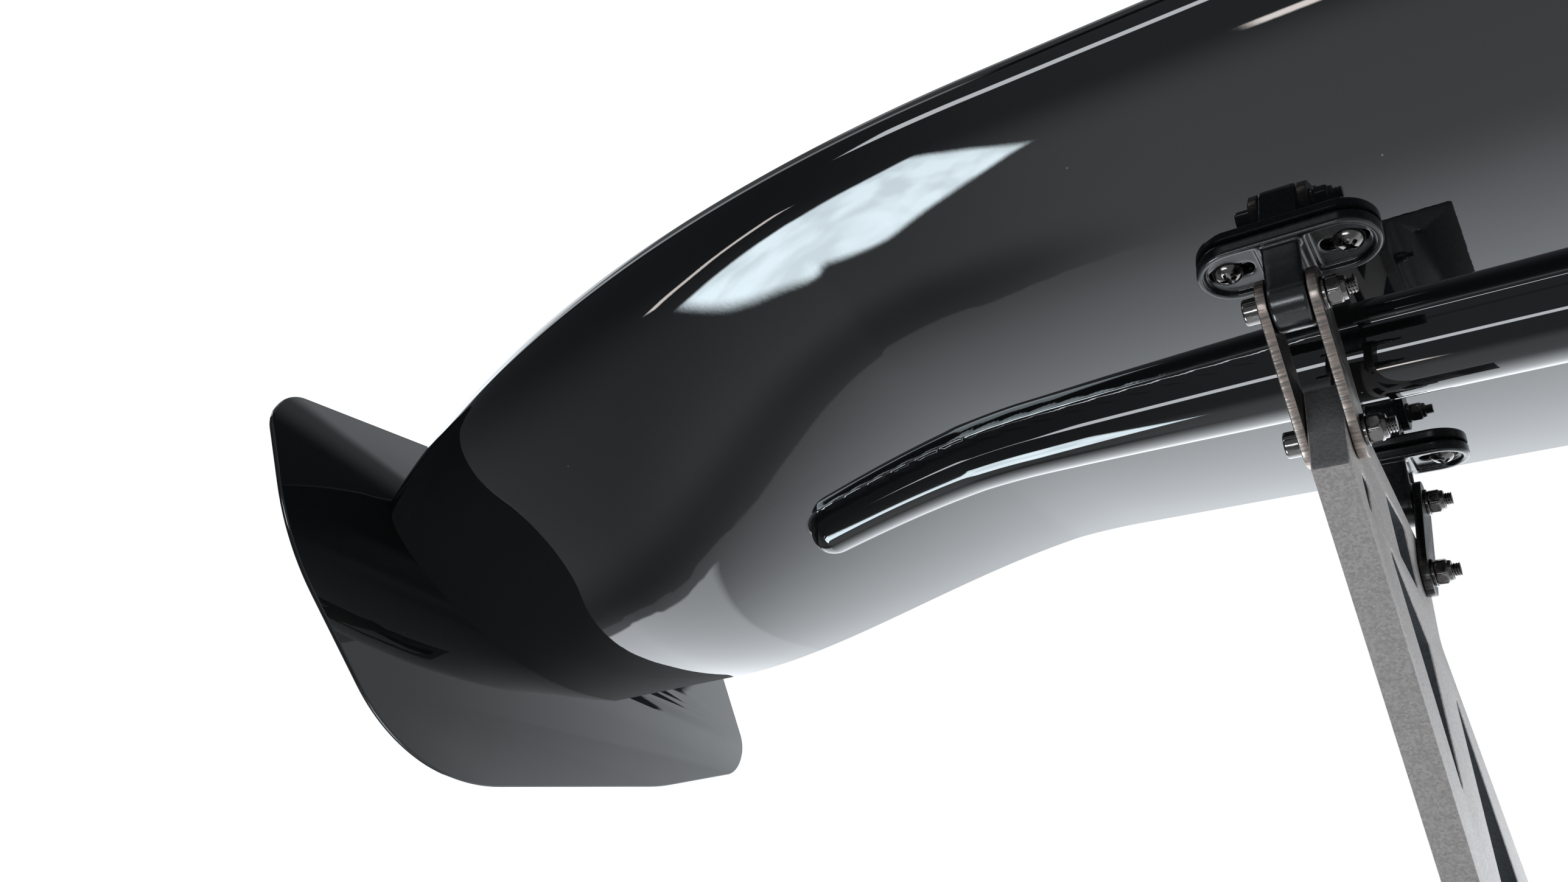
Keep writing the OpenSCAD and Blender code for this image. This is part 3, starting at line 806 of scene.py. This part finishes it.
def make_links(side, sign, end):
    slot = "bare_link" if end == "front" else "dark_link"
    upper, lower = PIVOTS[end]
    loops = [stadium(lower, upper, LINK_W / 2)]
    loops += [circle(BOLT_R + 0.05 * MM, 40, p) for p in (lower, upper)]
    for which, x0 in (("outer", LINK_IN), ("inner", -LINK_OUT)):
        x = STAND_X + x0
        points, faces = plate(loops, x, x + LINK_T, 0.45 * MM, 3)
        solid = Solid().add(points, faces, lambda p: (sign * p[2], p[0], p[1]))
        obj = make_object(f"{side}_{end}_{which}_link_plate", solid, MATERIALS[slot], 30)
        finish_piece(obj, f"{end}_links", slot, f"{side}_{end}_{which}_link")


# ---------------------------------------------------------------- brackets

SEAT_H = 24.1 * MM
FLANGE = (64 * MM, 27 * MM, 5.5 * MM)
BOSS_R = 10.5 * MM
BRACKET_SCREW_X = 21 * MM
CAST_VOXEL = 0.38 * MM


def local_frame(sign, place, tilt):
    """From a bracket's own frame, pivot at the origin, to the row frame."""
    return Matrix.Translation((sign * STAND_X, place[0], place[1])) @ Euler((tilt, 0, 0)).to_matrix().to_4x4()


def bracket_mesh(name, bore_r):
    """T-shaped casting: flange with two dished pockets and slots, web, and a bored boss."""
    length, width, thick = FLANGE
    reach = (length - width) / 2
    solid = Solid()
    rim = stadium((-reach, 0), (reach, 0), width / 2)
    slots = []
    pockets = []
    for s in (-1, 1):
        slots.append(stadium((s * 19.5 * MM - 4.7 * MM, 0), (s * 19.5 * MM + 4.7 * MM, 0), 3.3 * MM))
        r = width / 2 - 3 * MM
        turns = np.linspace(-math.pi / 2, math.pi / 2, 24)
        arc = [(s * (reach + r * math.cos(t)), r * math.sin(t)) for t in turns]
        pockets.append(arc + [(s * 9 * MM, r), (s * 9 * MM, -r)])
    low = SEAT_H - thick
    solid.add(*plate([rim, *slots], SEAT_H - 3 * MM, SEAT_H, 0.3 * MM))
    solid.add(*plate([rim, *pockets], low, SEAT_H - 2.6 * MM, 0.9 * MM, 4))
    top = width / 2 - 2.5 * MM
    web = [(-BOSS_R, 0), (BOSS_R, 0), (top, low + 1.5 * MM), (-top, low + 1.5 * MM)]
    half = STAND_T / 2
    solid.add(*plate([web], -half + 1.2 * MM, half - 1.2 * MM, 0.5 * MM), in_yz)
    for s in (-1, 1):
        rib = [(-BOSS_R * 0.98, 1 * MM), (-7.2 * MM, 1 * MM), (-7.2 * MM, low + 1.5 * MM),
               (-top, low + 1.5 * MM)]
        rib = rib if s < 0 else [(-y, z) for y, z in rib]
        solid.add(*plate([rib], -half, half, 0.5 * MM), in_yz)
    solid.add(*ring([(-half, BOSS_R - 0.5 * MM), (-half + 0.5 * MM, BOSS_R), (half - 0.5 * MM, BOSS_R),
                     (half, BOSS_R - 0.5 * MM), (half, bore_r), (-half, bore_r)], 64),
              lambda p: (p[2], p[0], p[1]))
    obj = make_object(name, solid, MATERIALS["black_casting"], 180)
    remesh = obj.modifiers.new("cast", "REMESH")
    remesh.mode = "VOXEL"
    remesh.voxel_size = CAST_VOXEL
    remesh.use_smooth_shade = True
    soften = obj.modifiers.new("soften", "SMOOTH")
    soften.factor = 0.5
    soften.iterations = 22
    graph = bpy.context.evaluated_depsgraph_get()
    mesh = bpy.data.meshes.new_from_object(obj.evaluated_get(graph))
    obj.modifiers.clear()
    obj.data = mesh
    return obj


def make_brackets():
    """One casting for each end, placed on both stands."""
    for end in ENDS:
        place = PIVOTS[end][0]
        bore = BOLT_R + (0.05 if end == "front" else 1.1) * MM
        first = bracket_mesh(f"left_{end}_t_bracket", bore)
        second = first.copy()
        second.data = first.data.copy()
        second.name = f"right_{end}_t_bracket"
        bpy.context.scene.collection.objects.link(second)
        for obj, (side, sign) in zip((first, second), SIDES.items()):
            obj.data.transform(local_frame(sign, place, TILTS[end]))
            finish_piece(obj, "wing", "black_casting", f"{side}_{end}_bracket")


def make_bracket_screws(side, sign, end):
    frame_at = local_frame(sign, PIVOTS[end][0], TILTS[end])
    seat = SEAT_H - 3 * MM
    solid = Solid()
    for s in (-1, 1):
        def place(p, s=s):
            return tuple(frame_at @ Vector((s * BRACKET_SCREW_X + p[0], p[1], seat + p[2])))

        rotated = Solid()
        pan_screw(rotated, None, 5.6 * MM, 3.6 * MM, BOLT_R - 0.1 * MM, 8 * MM)
        turn = Matrix.Rotation(math.radians(20 + 31 * s), 3, "Z")
        solid.add([turn @ Vector(p) for p in rotated.points], rotated.faces, place)
    obj = make_object(f"{side}_{end}_flange_screws", solid, MATERIALS["black_nickel"], 32)
    finish_piece(obj, "wing", "black_nickel", f"{side}_{end}_bracket_screws")


# ---------------------------------------------------------------- stands and feet

FOOT_L = 151 * MM
PAD_T = size("right_foot_pad").z
FOOT_T = 5 * MM
FOOT_H = 38 * MM
STAND_TOE = -FOOT_L / 2
STAND_HEEL = FOOT_L / 2
STAND_LOW = PAD_T + FOOT_T
STAND_TOP = [(31, -17), (24, -54)]
STAND_BACK = [(176, -67), (173.5, -26), (88, -20)]
STAND_RADII = [4, 3, 3, 3, 12, 8, 15, 20]
WINDOWS = [
    [(42, -48.5), (54, -48.5), (51.5, -66)],
    [(91, -34), (103, -56), (137, -58), (128, -33)],
    [(73, -59), (139, -80), (164, -139)],
    [(188, -83), (241, -183), (336, -183), (336, -166)],
]
WINDOW_R = 2.5 * MM
FOOT_BOLT_Y = 45 * MM
FOOT_BOLT_Z = PAD_T + FOOT_T + 22 * MM
BASE_BOLT_X = 26 * MM
BASE_BOLT_Y = 50 * MM
CLEAR_R = 3.3 * MM


def make_stand(side, sign):
    """Cast plate: main web with windows through it; painted shade is marked on the windows' walls and the
    head between the links.
    """
    from_pivot = [FRONT_UPPER + np.array(p) * MM for p in STAND_TOP]
    foot = [(STAND_TOE, STAND_LOW), (STAND_HEEL, STAND_LOW), (STAND_HEEL, FRONT_UPPER[1] - 138 * MM)]
    back = [FRONT_UPPER + np.array(p) * MM for p in STAND_BACK]
    outline = rounded([*from_pivot, *foot, *back], [r * MM for r in STAND_RADII], 6)
    holes = [rounded([FRONT_UPPER + np.array(p) * MM for p in w], [WINDOW_R] * len(w), 12) for w in WINDOWS]
    holes += [circle(BOLT_R + 0.05 * MM, 40, p) for p in (FRONT_LOWER, REAR_LOWER)]
    holes += [circle(CLEAR_R, 40, (y, FOOT_BOLT_Z)) for y in (-FOOT_BOLT_Y, FOOT_BOLT_Y)]
    x0 = STAND_X - STAND_T / 2
    points, faces = plate([outline, *holes], x0, x0 + STAND_T, 0.8 * MM, 4)
    solid = Solid().add(points, faces, lambda p: (sign * p[2], p[0], p[1]))
    obj = make_object(f"{side}_cast_stand", solid, MATERIALS["silver_casting"], 30)
    # The windows grown by 1.2 mm, to find the wall faces that get painted shade.
    frames = [inset(w, 1.2 * MM if area(w) < 0 else -1.2 * MM) for w in holes[: len(WINDOWS)]]

    def painted_shade(at, normal):
        """Painted shade: full in the windows' walls, and 0.75 on the head facet between the links."""
        if abs(normal.x) < 0.35 and any(within(f, (at.y, at.z)) for f in frames):
            return 1.0
        return 0.75 if normal.y < -0.9 and at.z > FRONT_UPPER[1] - 56 * MM else 0.0

    mark_faces(obj, painted_shade)
    finish_piece(obj, "stands", "silver_casting", f"{side}_stand")


def cut_holes(obj, places):
    """Drills round holes, given as (centre, direction, radius, length)."""
    for at, direction, r, length in places:
        drill = Solid().add(*revolve([(-length / 2, r), (length / 2, r)], 40))
        cutter = make_object("drill", drill, MATERIALS["black_nickel"])
        turn = Vector((0, 0, 1)).rotation_difference(Vector(direction)).to_matrix().to_4x4()
        cutter.matrix_world = Matrix.Translation(at) @ turn
        cut = obj.modifiers.new("cut", "BOOLEAN")
        cut.operation = "DIFFERENCE"
        cut.solver = "EXACT"
        cut.object = cutter
        bpy.context.view_layer.update()
        graph = bpy.context.evaluated_depsgraph_get()
        mesh = bpy.data.meshes.new_from_object(obj.evaluated_get(graph))
        obj.modifiers.clear()
        obj.data = mesh
        bpy.data.objects.remove(cutter)


def make_foot(side, sign):
    """Angle bracket with a filleted inside corner, and the rubber pad under it."""
    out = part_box("right_foot")
    x_out = out[0].x
    x_in = out[1].x
    face = STAND_X - STAND_T / 2
    left = -(STAND_X + STAND_T / 2)
    corner = -face
    reach = left + size("left_foot").x
    low, top = PAD_T, PAD_T + FOOT_T
    high = PAD_T + FOOT_T + FOOT_H
    fillet = [(corner + FOOT_T + 4 * MM * (1 - math.sin(t)), top + 4 * MM * (1 - math.cos(t)))
              for t in np.linspace(0, math.pi / 2, 8)]
    profile = [(left, low), (reach, low), (reach, top), *fillet, (corner + FOOT_T, high), (corner, high),
               (corner, top), (left, top)]
    points, faces = plate([profile], -FOOT_L / 2, FOOT_L / 2, 0.6 * MM, 3)
    solid = Solid().add(points, faces, lambda p: (-sign * p[0], p[2], p[1]))
    obj = make_object(f"{side}_foot_angle", solid, MATERIALS["silver_foot"], 30)
    holes = [(Vector((sign * (STAND_X - BASE_BOLT_X), y, low)), (0, 0, 1), CLEAR_R, 30 * MM)
             for y in (-BASE_BOLT_Y, BASE_BOLT_Y)]
    holes += [(Vector((sign * (face - FOOT_T / 2), y, FOOT_BOLT_Z)), (1, 0, 0), CLEAR_R, 12 * MM)
              for y in (-FOOT_BOLT_Y, FOOT_BOLT_Y)]
    cut_holes(obj, holes)
    finish_piece(obj, "stands", "silver_foot", f"{side}_foot")
    pad_low, pad_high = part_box(f"{side}_foot_pad")
    loops = [rounded([(pad_low.x, pad_low.y), (pad_high.x, pad_low.y), (pad_high.x, pad_high.y),
                      (pad_low.x, pad_high.y)], [2 * MM] * 4, 10)]
    loops += [circle(CLEAR_R, 40, (sign * (STAND_X - BASE_BOLT_X), y)) for y in (-BASE_BOLT_Y, BASE_BOLT_Y)]
    pad = make_object(f"{side}_rubber_pad", Solid().add(*plate(loops, pad_low.z, pad_high.z, 0.4 * MM)),
                      MATERIALS["foot_rubber"], 30)
    finish_piece(pad, "stands", "foot_rubber", f"{side}_foot_pad")


def make_foot_hardware(side, sign):
    bolts = Solid()
    nuts = Solid()
    outside = sign * (STAND_X + STAND_T / 2)
    inside = sign * (STAND_X - STAND_T / 2 - FOOT_T)
    length = STAND_T + FOOT_T + 6.5 * MM + 3 * MM
    for y in (-FOOT_BOLT_Y, FOOT_BOLT_Y):
        place = (y, FOOT_BOLT_Z)
        socket_head(bolts, along_x(outside, place, -sign), 5 * MM, 6 * MM, 5 * MM, (STAND_T + FOOT_T, length))
        nuts.add(*nut_solid(), along_x(inside, place, -sign))
    obj = make_object(f"{side}_foot_clamp_bolts", bolts, MATERIALS["black_nickel"], 30)
    finish_piece(obj, "stands", "black_nickel", f"{side}_foot_bolts")
    obj = make_object(f"{side}_foot_lock_nuts", nuts, MATERIALS["black_nickel"], 28)
    finish_piece(obj, "stands", "black_nickel", f"{side}_foot_nuts")


# ---------------------------------------------------------------- studio


class Sky:
    """World light as plain functions of direction: a bright wall behind, and soft panels."""

    def __init__(self):
        self.world = bpy.data.worlds.new("studio")
        bpy.context.scene.world = self.world
        self.world.use_nodes = True
        self.tree = self.world.node_tree
        self.tree.nodes.clear()
        self.way = self.tree.nodes.new("ShaderNodeTexCoord").outputs["Generated"]

    def maths(self, operation, a, b=0.0, c=0.0):
        n = self.tree.nodes.new("ShaderNodeMath")
        n.operation = operation
        for i, v in enumerate((a, b, c)):
            if isinstance(v, (int, float)):
                n.inputs[i].default_value = v
            else:
                self.tree.links.new(v, n.inputs[i])
        return n.outputs[0]

    def dot(self, axis):
        n = self.tree.nodes.new("ShaderNodeVectorMath")
        n.operation = "DOT_PRODUCT"
        self.tree.links.new(self.way, n.inputs[0])
        n.inputs[1].default_value = axis
        return n.outputs["Value"]

    def spread(self, value, low, high, to_low=0.0, to_high=1.0):
        n = self.tree.nodes.new("ShaderNodeMapRange")
        n.interpolation_type = "SMOOTHSTEP"
        for key, number in (("From Min", low), ("From Max", high), ("To Min", to_low), ("To Max", to_high)):
            n.inputs[key].default_value = number
        self.tree.links.new(value, n.inputs["Value"])
        return n.outputs["Result"]

    def panel(self, corners, up, strength, soft=0.012):
        """Convex light from the x and y of its corners' directions, above (up 1) or below (up -1)."""
        ways = [Vector((x, y, up * math.sqrt(1 - x * x - y * y))) for x, y in corners]
        middle = sum(ways, Vector((0, 0, 0)))
        share = None
        for a, b in zip(ways, ways[1:] + ways[:1]):
            edge = a.cross(b).normalized()
            edge = edge if edge.dot(middle) > 0 else -edge
            side = self.spread(self.dot(edge), -soft, soft)
            share = self.maths("MULTIPLY", share, side) if share else side
        return self.maths("MULTIPLY", share, strength)

    def streaks(self, low, high, scale=(26, 7, 7)):
        """Slow uneven folds, for a light seen through cloth."""
        stretch = self.tree.nodes.new("ShaderNodeMapping")
        stretch.inputs["Rotation"].default_value = (0, 0, math.radians(-28))
        stretch.inputs["Scale"].default_value = scale
        self.tree.links.new(self.way, stretch.inputs["Vector"])
        folds = self.tree.nodes.new("ShaderNodeTexNoise")
        folds.inputs["Scale"].default_value = 1.0
        self.tree.links.new(stretch.outputs[0], folds.inputs["Vector"])
        return self.spread(folds.outputs["Fac"], 0.35, 0.65, low, high)

    def background(self, strength, colour):
        n = self.tree.nodes.new("ShaderNodeBackground")
        n.inputs["Color"].default_value = (*colour, 1)
        if isinstance(strength, float):
            n.inputs["Strength"].default_value = strength
        else:
            self.tree.links.new(strength, n.inputs["Strength"])
        return n.outputs[0]

    def add(self, a, b):
        n = self.tree.nodes.new("ShaderNodeAddShader")
        self.tree.links.new(a, n.inputs[0])
        self.tree.links.new(b, n.inputs[1])
        return n.outputs[0]


COOL = (0.95, 1.0, 1.05)
BLUE_WHITE = (0.80, 0.93, 1.0)
WARM_WHITE = (1.0, 0.92, 0.88)
WHITE = (1.0, 1.0, 1.0)


def make_world():
    """Dim room in front, a pale wall behind and below, a light ceiling, and a few soft lights."""
    sky = Sky()
    x, y, z = (sky.dot(axis) for axis in ((1, 0, 0), (0, 1, 0), (0, 0, 1)))
    room = sky.spread(x, -0.6, -0.18, 0.36, 1.04)
    room = sky.maths("MULTIPLY", room, sky.spread(y, -0.40, 0.05, 0.32, 1.0))
    edge = sky.maths("ADD", y, sky.streaks(-0.008, 0.008, (13, 4, 4)))
    seam = sky.maths("MULTIPLY", sky.spread(x, -0.42, -0.15, 1.0, 0.0), sky.spread(y, 0.28, 0.47))
    seam = sky.maths("MULTIPLY", seam, sky.spread(edge, 0.51, 0.522, 1.0, 0.0))
    room = sky.maths("MULTIPLY", room, sky.spread(seam, 0.0, 1.0, 1.0, 0.45))
    wall = sky.maths("ADD", room, sky.spread(y, 0.45, 0.9, 0.0, 2.15))
    near = sky.maths("MULTIPLY", sky.spread(x, -0.425, -0.39, 1.0, 0.0), sky.spread(edge, 0.545, 0.56))
    wall = sky.maths("MAXIMUM", wall, sky.maths("MULTIPLY", near, 2.9))
    slope = sky.spread(x, 0.2, 0.5, 0.0, 0.46)
    rise = sky.maths("MULTIPLY", slope, sky.maths("MAXIMUM", sky.maths("SUBTRACT", 0.78, x)))
    rim = sky.maths("SUBTRACT", z, rise)
    wall = sky.maths("MULTIPLY", wall, sky.spread(rim, 0.227, 0.235, 1.0, 0.05))
    light = sky.maths("ADD", wall, sky.spread(z, 0.38, 0.52, 0.0, 0.55))
    above = [
        ([(-0.5, -0.6), (0.5, -0.6), (0.45, -0.3), (-0.45, -0.3)], 2.0),
        ([(-0.96, -0.2), (-0.7, -0.3), (-0.7, 0.3), (-0.96, 0.2)], 3.0),
        ([(0.5, 0.2), (0.8, 0.2), (0.65, 0.6), (0.4, 0.55)], 1.6),
        ([(-0.91, -0.02), (-0.96, -0.02), (-0.34, -0.90), (-0.32, -0.86)], 3.0),
    ]
    for corners, strength in above:
        light = sky.maths("ADD", light, sky.panel(corners, 1, strength, 0.04))
    window = sky.panel([(-0.437, 0.171), (-0.297, -0.06), (-0.405, -0.314), (-0.584, -0.124)], -1, 20.0)
    window = sky.maths("MULTIPLY", window, sky.streaks(0.82, 1.06))
    strip_corners = [(-0.642, -0.212), (-0.628, -0.205), (-0.521, -0.362), (-0.533, -0.370)]
    strip = sky.panel(strip_corners, -1, 12.0, 0.005)
    patch = sky.panel([(-0.125, -0.335), (-0.075, -0.335), (-0.06, -0.28), (-0.12, -0.285)], -1, 16.0)
    tube = sky.panel([(-0.5, -0.74), (0.1, -0.82), (0.1, -0.87), (-0.44, -0.83)], -1, 11.0, 0.01)
    light = sky.maths("ADD", light, tube)
    lit = sky.background(light, COOL)
    lit = sky.add(lit, sky.background(window, BLUE_WHITE))
    lit = sky.add(lit, sky.background(sky.maths("ADD", strip, patch), WARM_WHITE))
    tree = sky.tree
    path = tree.nodes.new("ShaderNodeLightPath")
    choose = tree.nodes.new("ShaderNodeMixShader")
    tree.links.new(path.outputs["Is Camera Ray"], choose.inputs["Fac"])
    tree.links.new(lit, choose.inputs[1])
    tree.links.new(sky.background(1.0, WHITE), choose.inputs[2])
    out = tree.nodes.new("ShaderNodeOutputWorld")
    tree.links.new(choose.outputs[0], out.inputs["Surface"])


def make_floor():
    """Pale floor well below the wing, and a pale plinth under its feet. Reflections pass through both."""
    p = Paint("pale_floor")
    p.colour(p.mix(p.noise(3, 3), (0.62, 0.62, 0.62), (0.66, 0.66, 0.66)))
    p.roughness(p.spread(p.noise(30, 3), 0.3, 0.7, 0.7, 0.8))
    drop = 0.9
    half = 12.0
    square = [(-half, -half), (half, -half), (half, half), (-half, half)]
    floor = Solid().add([(x, y, -drop) for x, y in square], [(0, 1, 2, 3)])
    block = [(-0.36, -0.13), (0.36, -0.13), (0.36, 0.13), (-0.36, 0.13)]
    plinth = Solid().add(*plate([rounded(block, [0.012] * 4)], -drop, -0.0004, 0.004))
    for name, solid in (("floor", floor), ("plinth", plinth)):
        obj = make_object(name, solid, p.material)
        obj.visible_glossy = False


# ---------------------------------------------------------------- everything together

INNER_SLOTS = {
    "centre_spar": "spar_aluminium",
    "left_tip_rib": "rib_plastic",
    "right_tip_rib": "rib_plastic",
    "left_threaded_inserts": "insert_brass",
    "right_threaded_inserts": "insert_brass",
}


def dress_inner_nodes():
    """The pieces sealed inside the wing keep their CAD shape and get a finish."""
    for node, slot in INNER_SLOTS.items():
        obj = frame["nodes"][node]
        obj.data.materials.clear()
        obj.data.materials.append(MATERIALS[slot])


make_camera()
make_world()
make_floor()
make_wing()
make_brackets()
for side, sign in SIDES.items():
    make_endplate(side, sign)
    make_endplate_screws(side, sign)
    make_stand(side, sign)
    make_foot(side, sign)
    make_foot_hardware(side, sign)
    for end in ENDS:
        make_links(side, sign, end)
        make_pivot_hardware(side, sign, end)
        make_bracket_screws(side, sign, end)
dress_inner_nodes()
bpy.context.scene.view_settings.view_transform = "Standard"

bpy.context.view_layer.update()
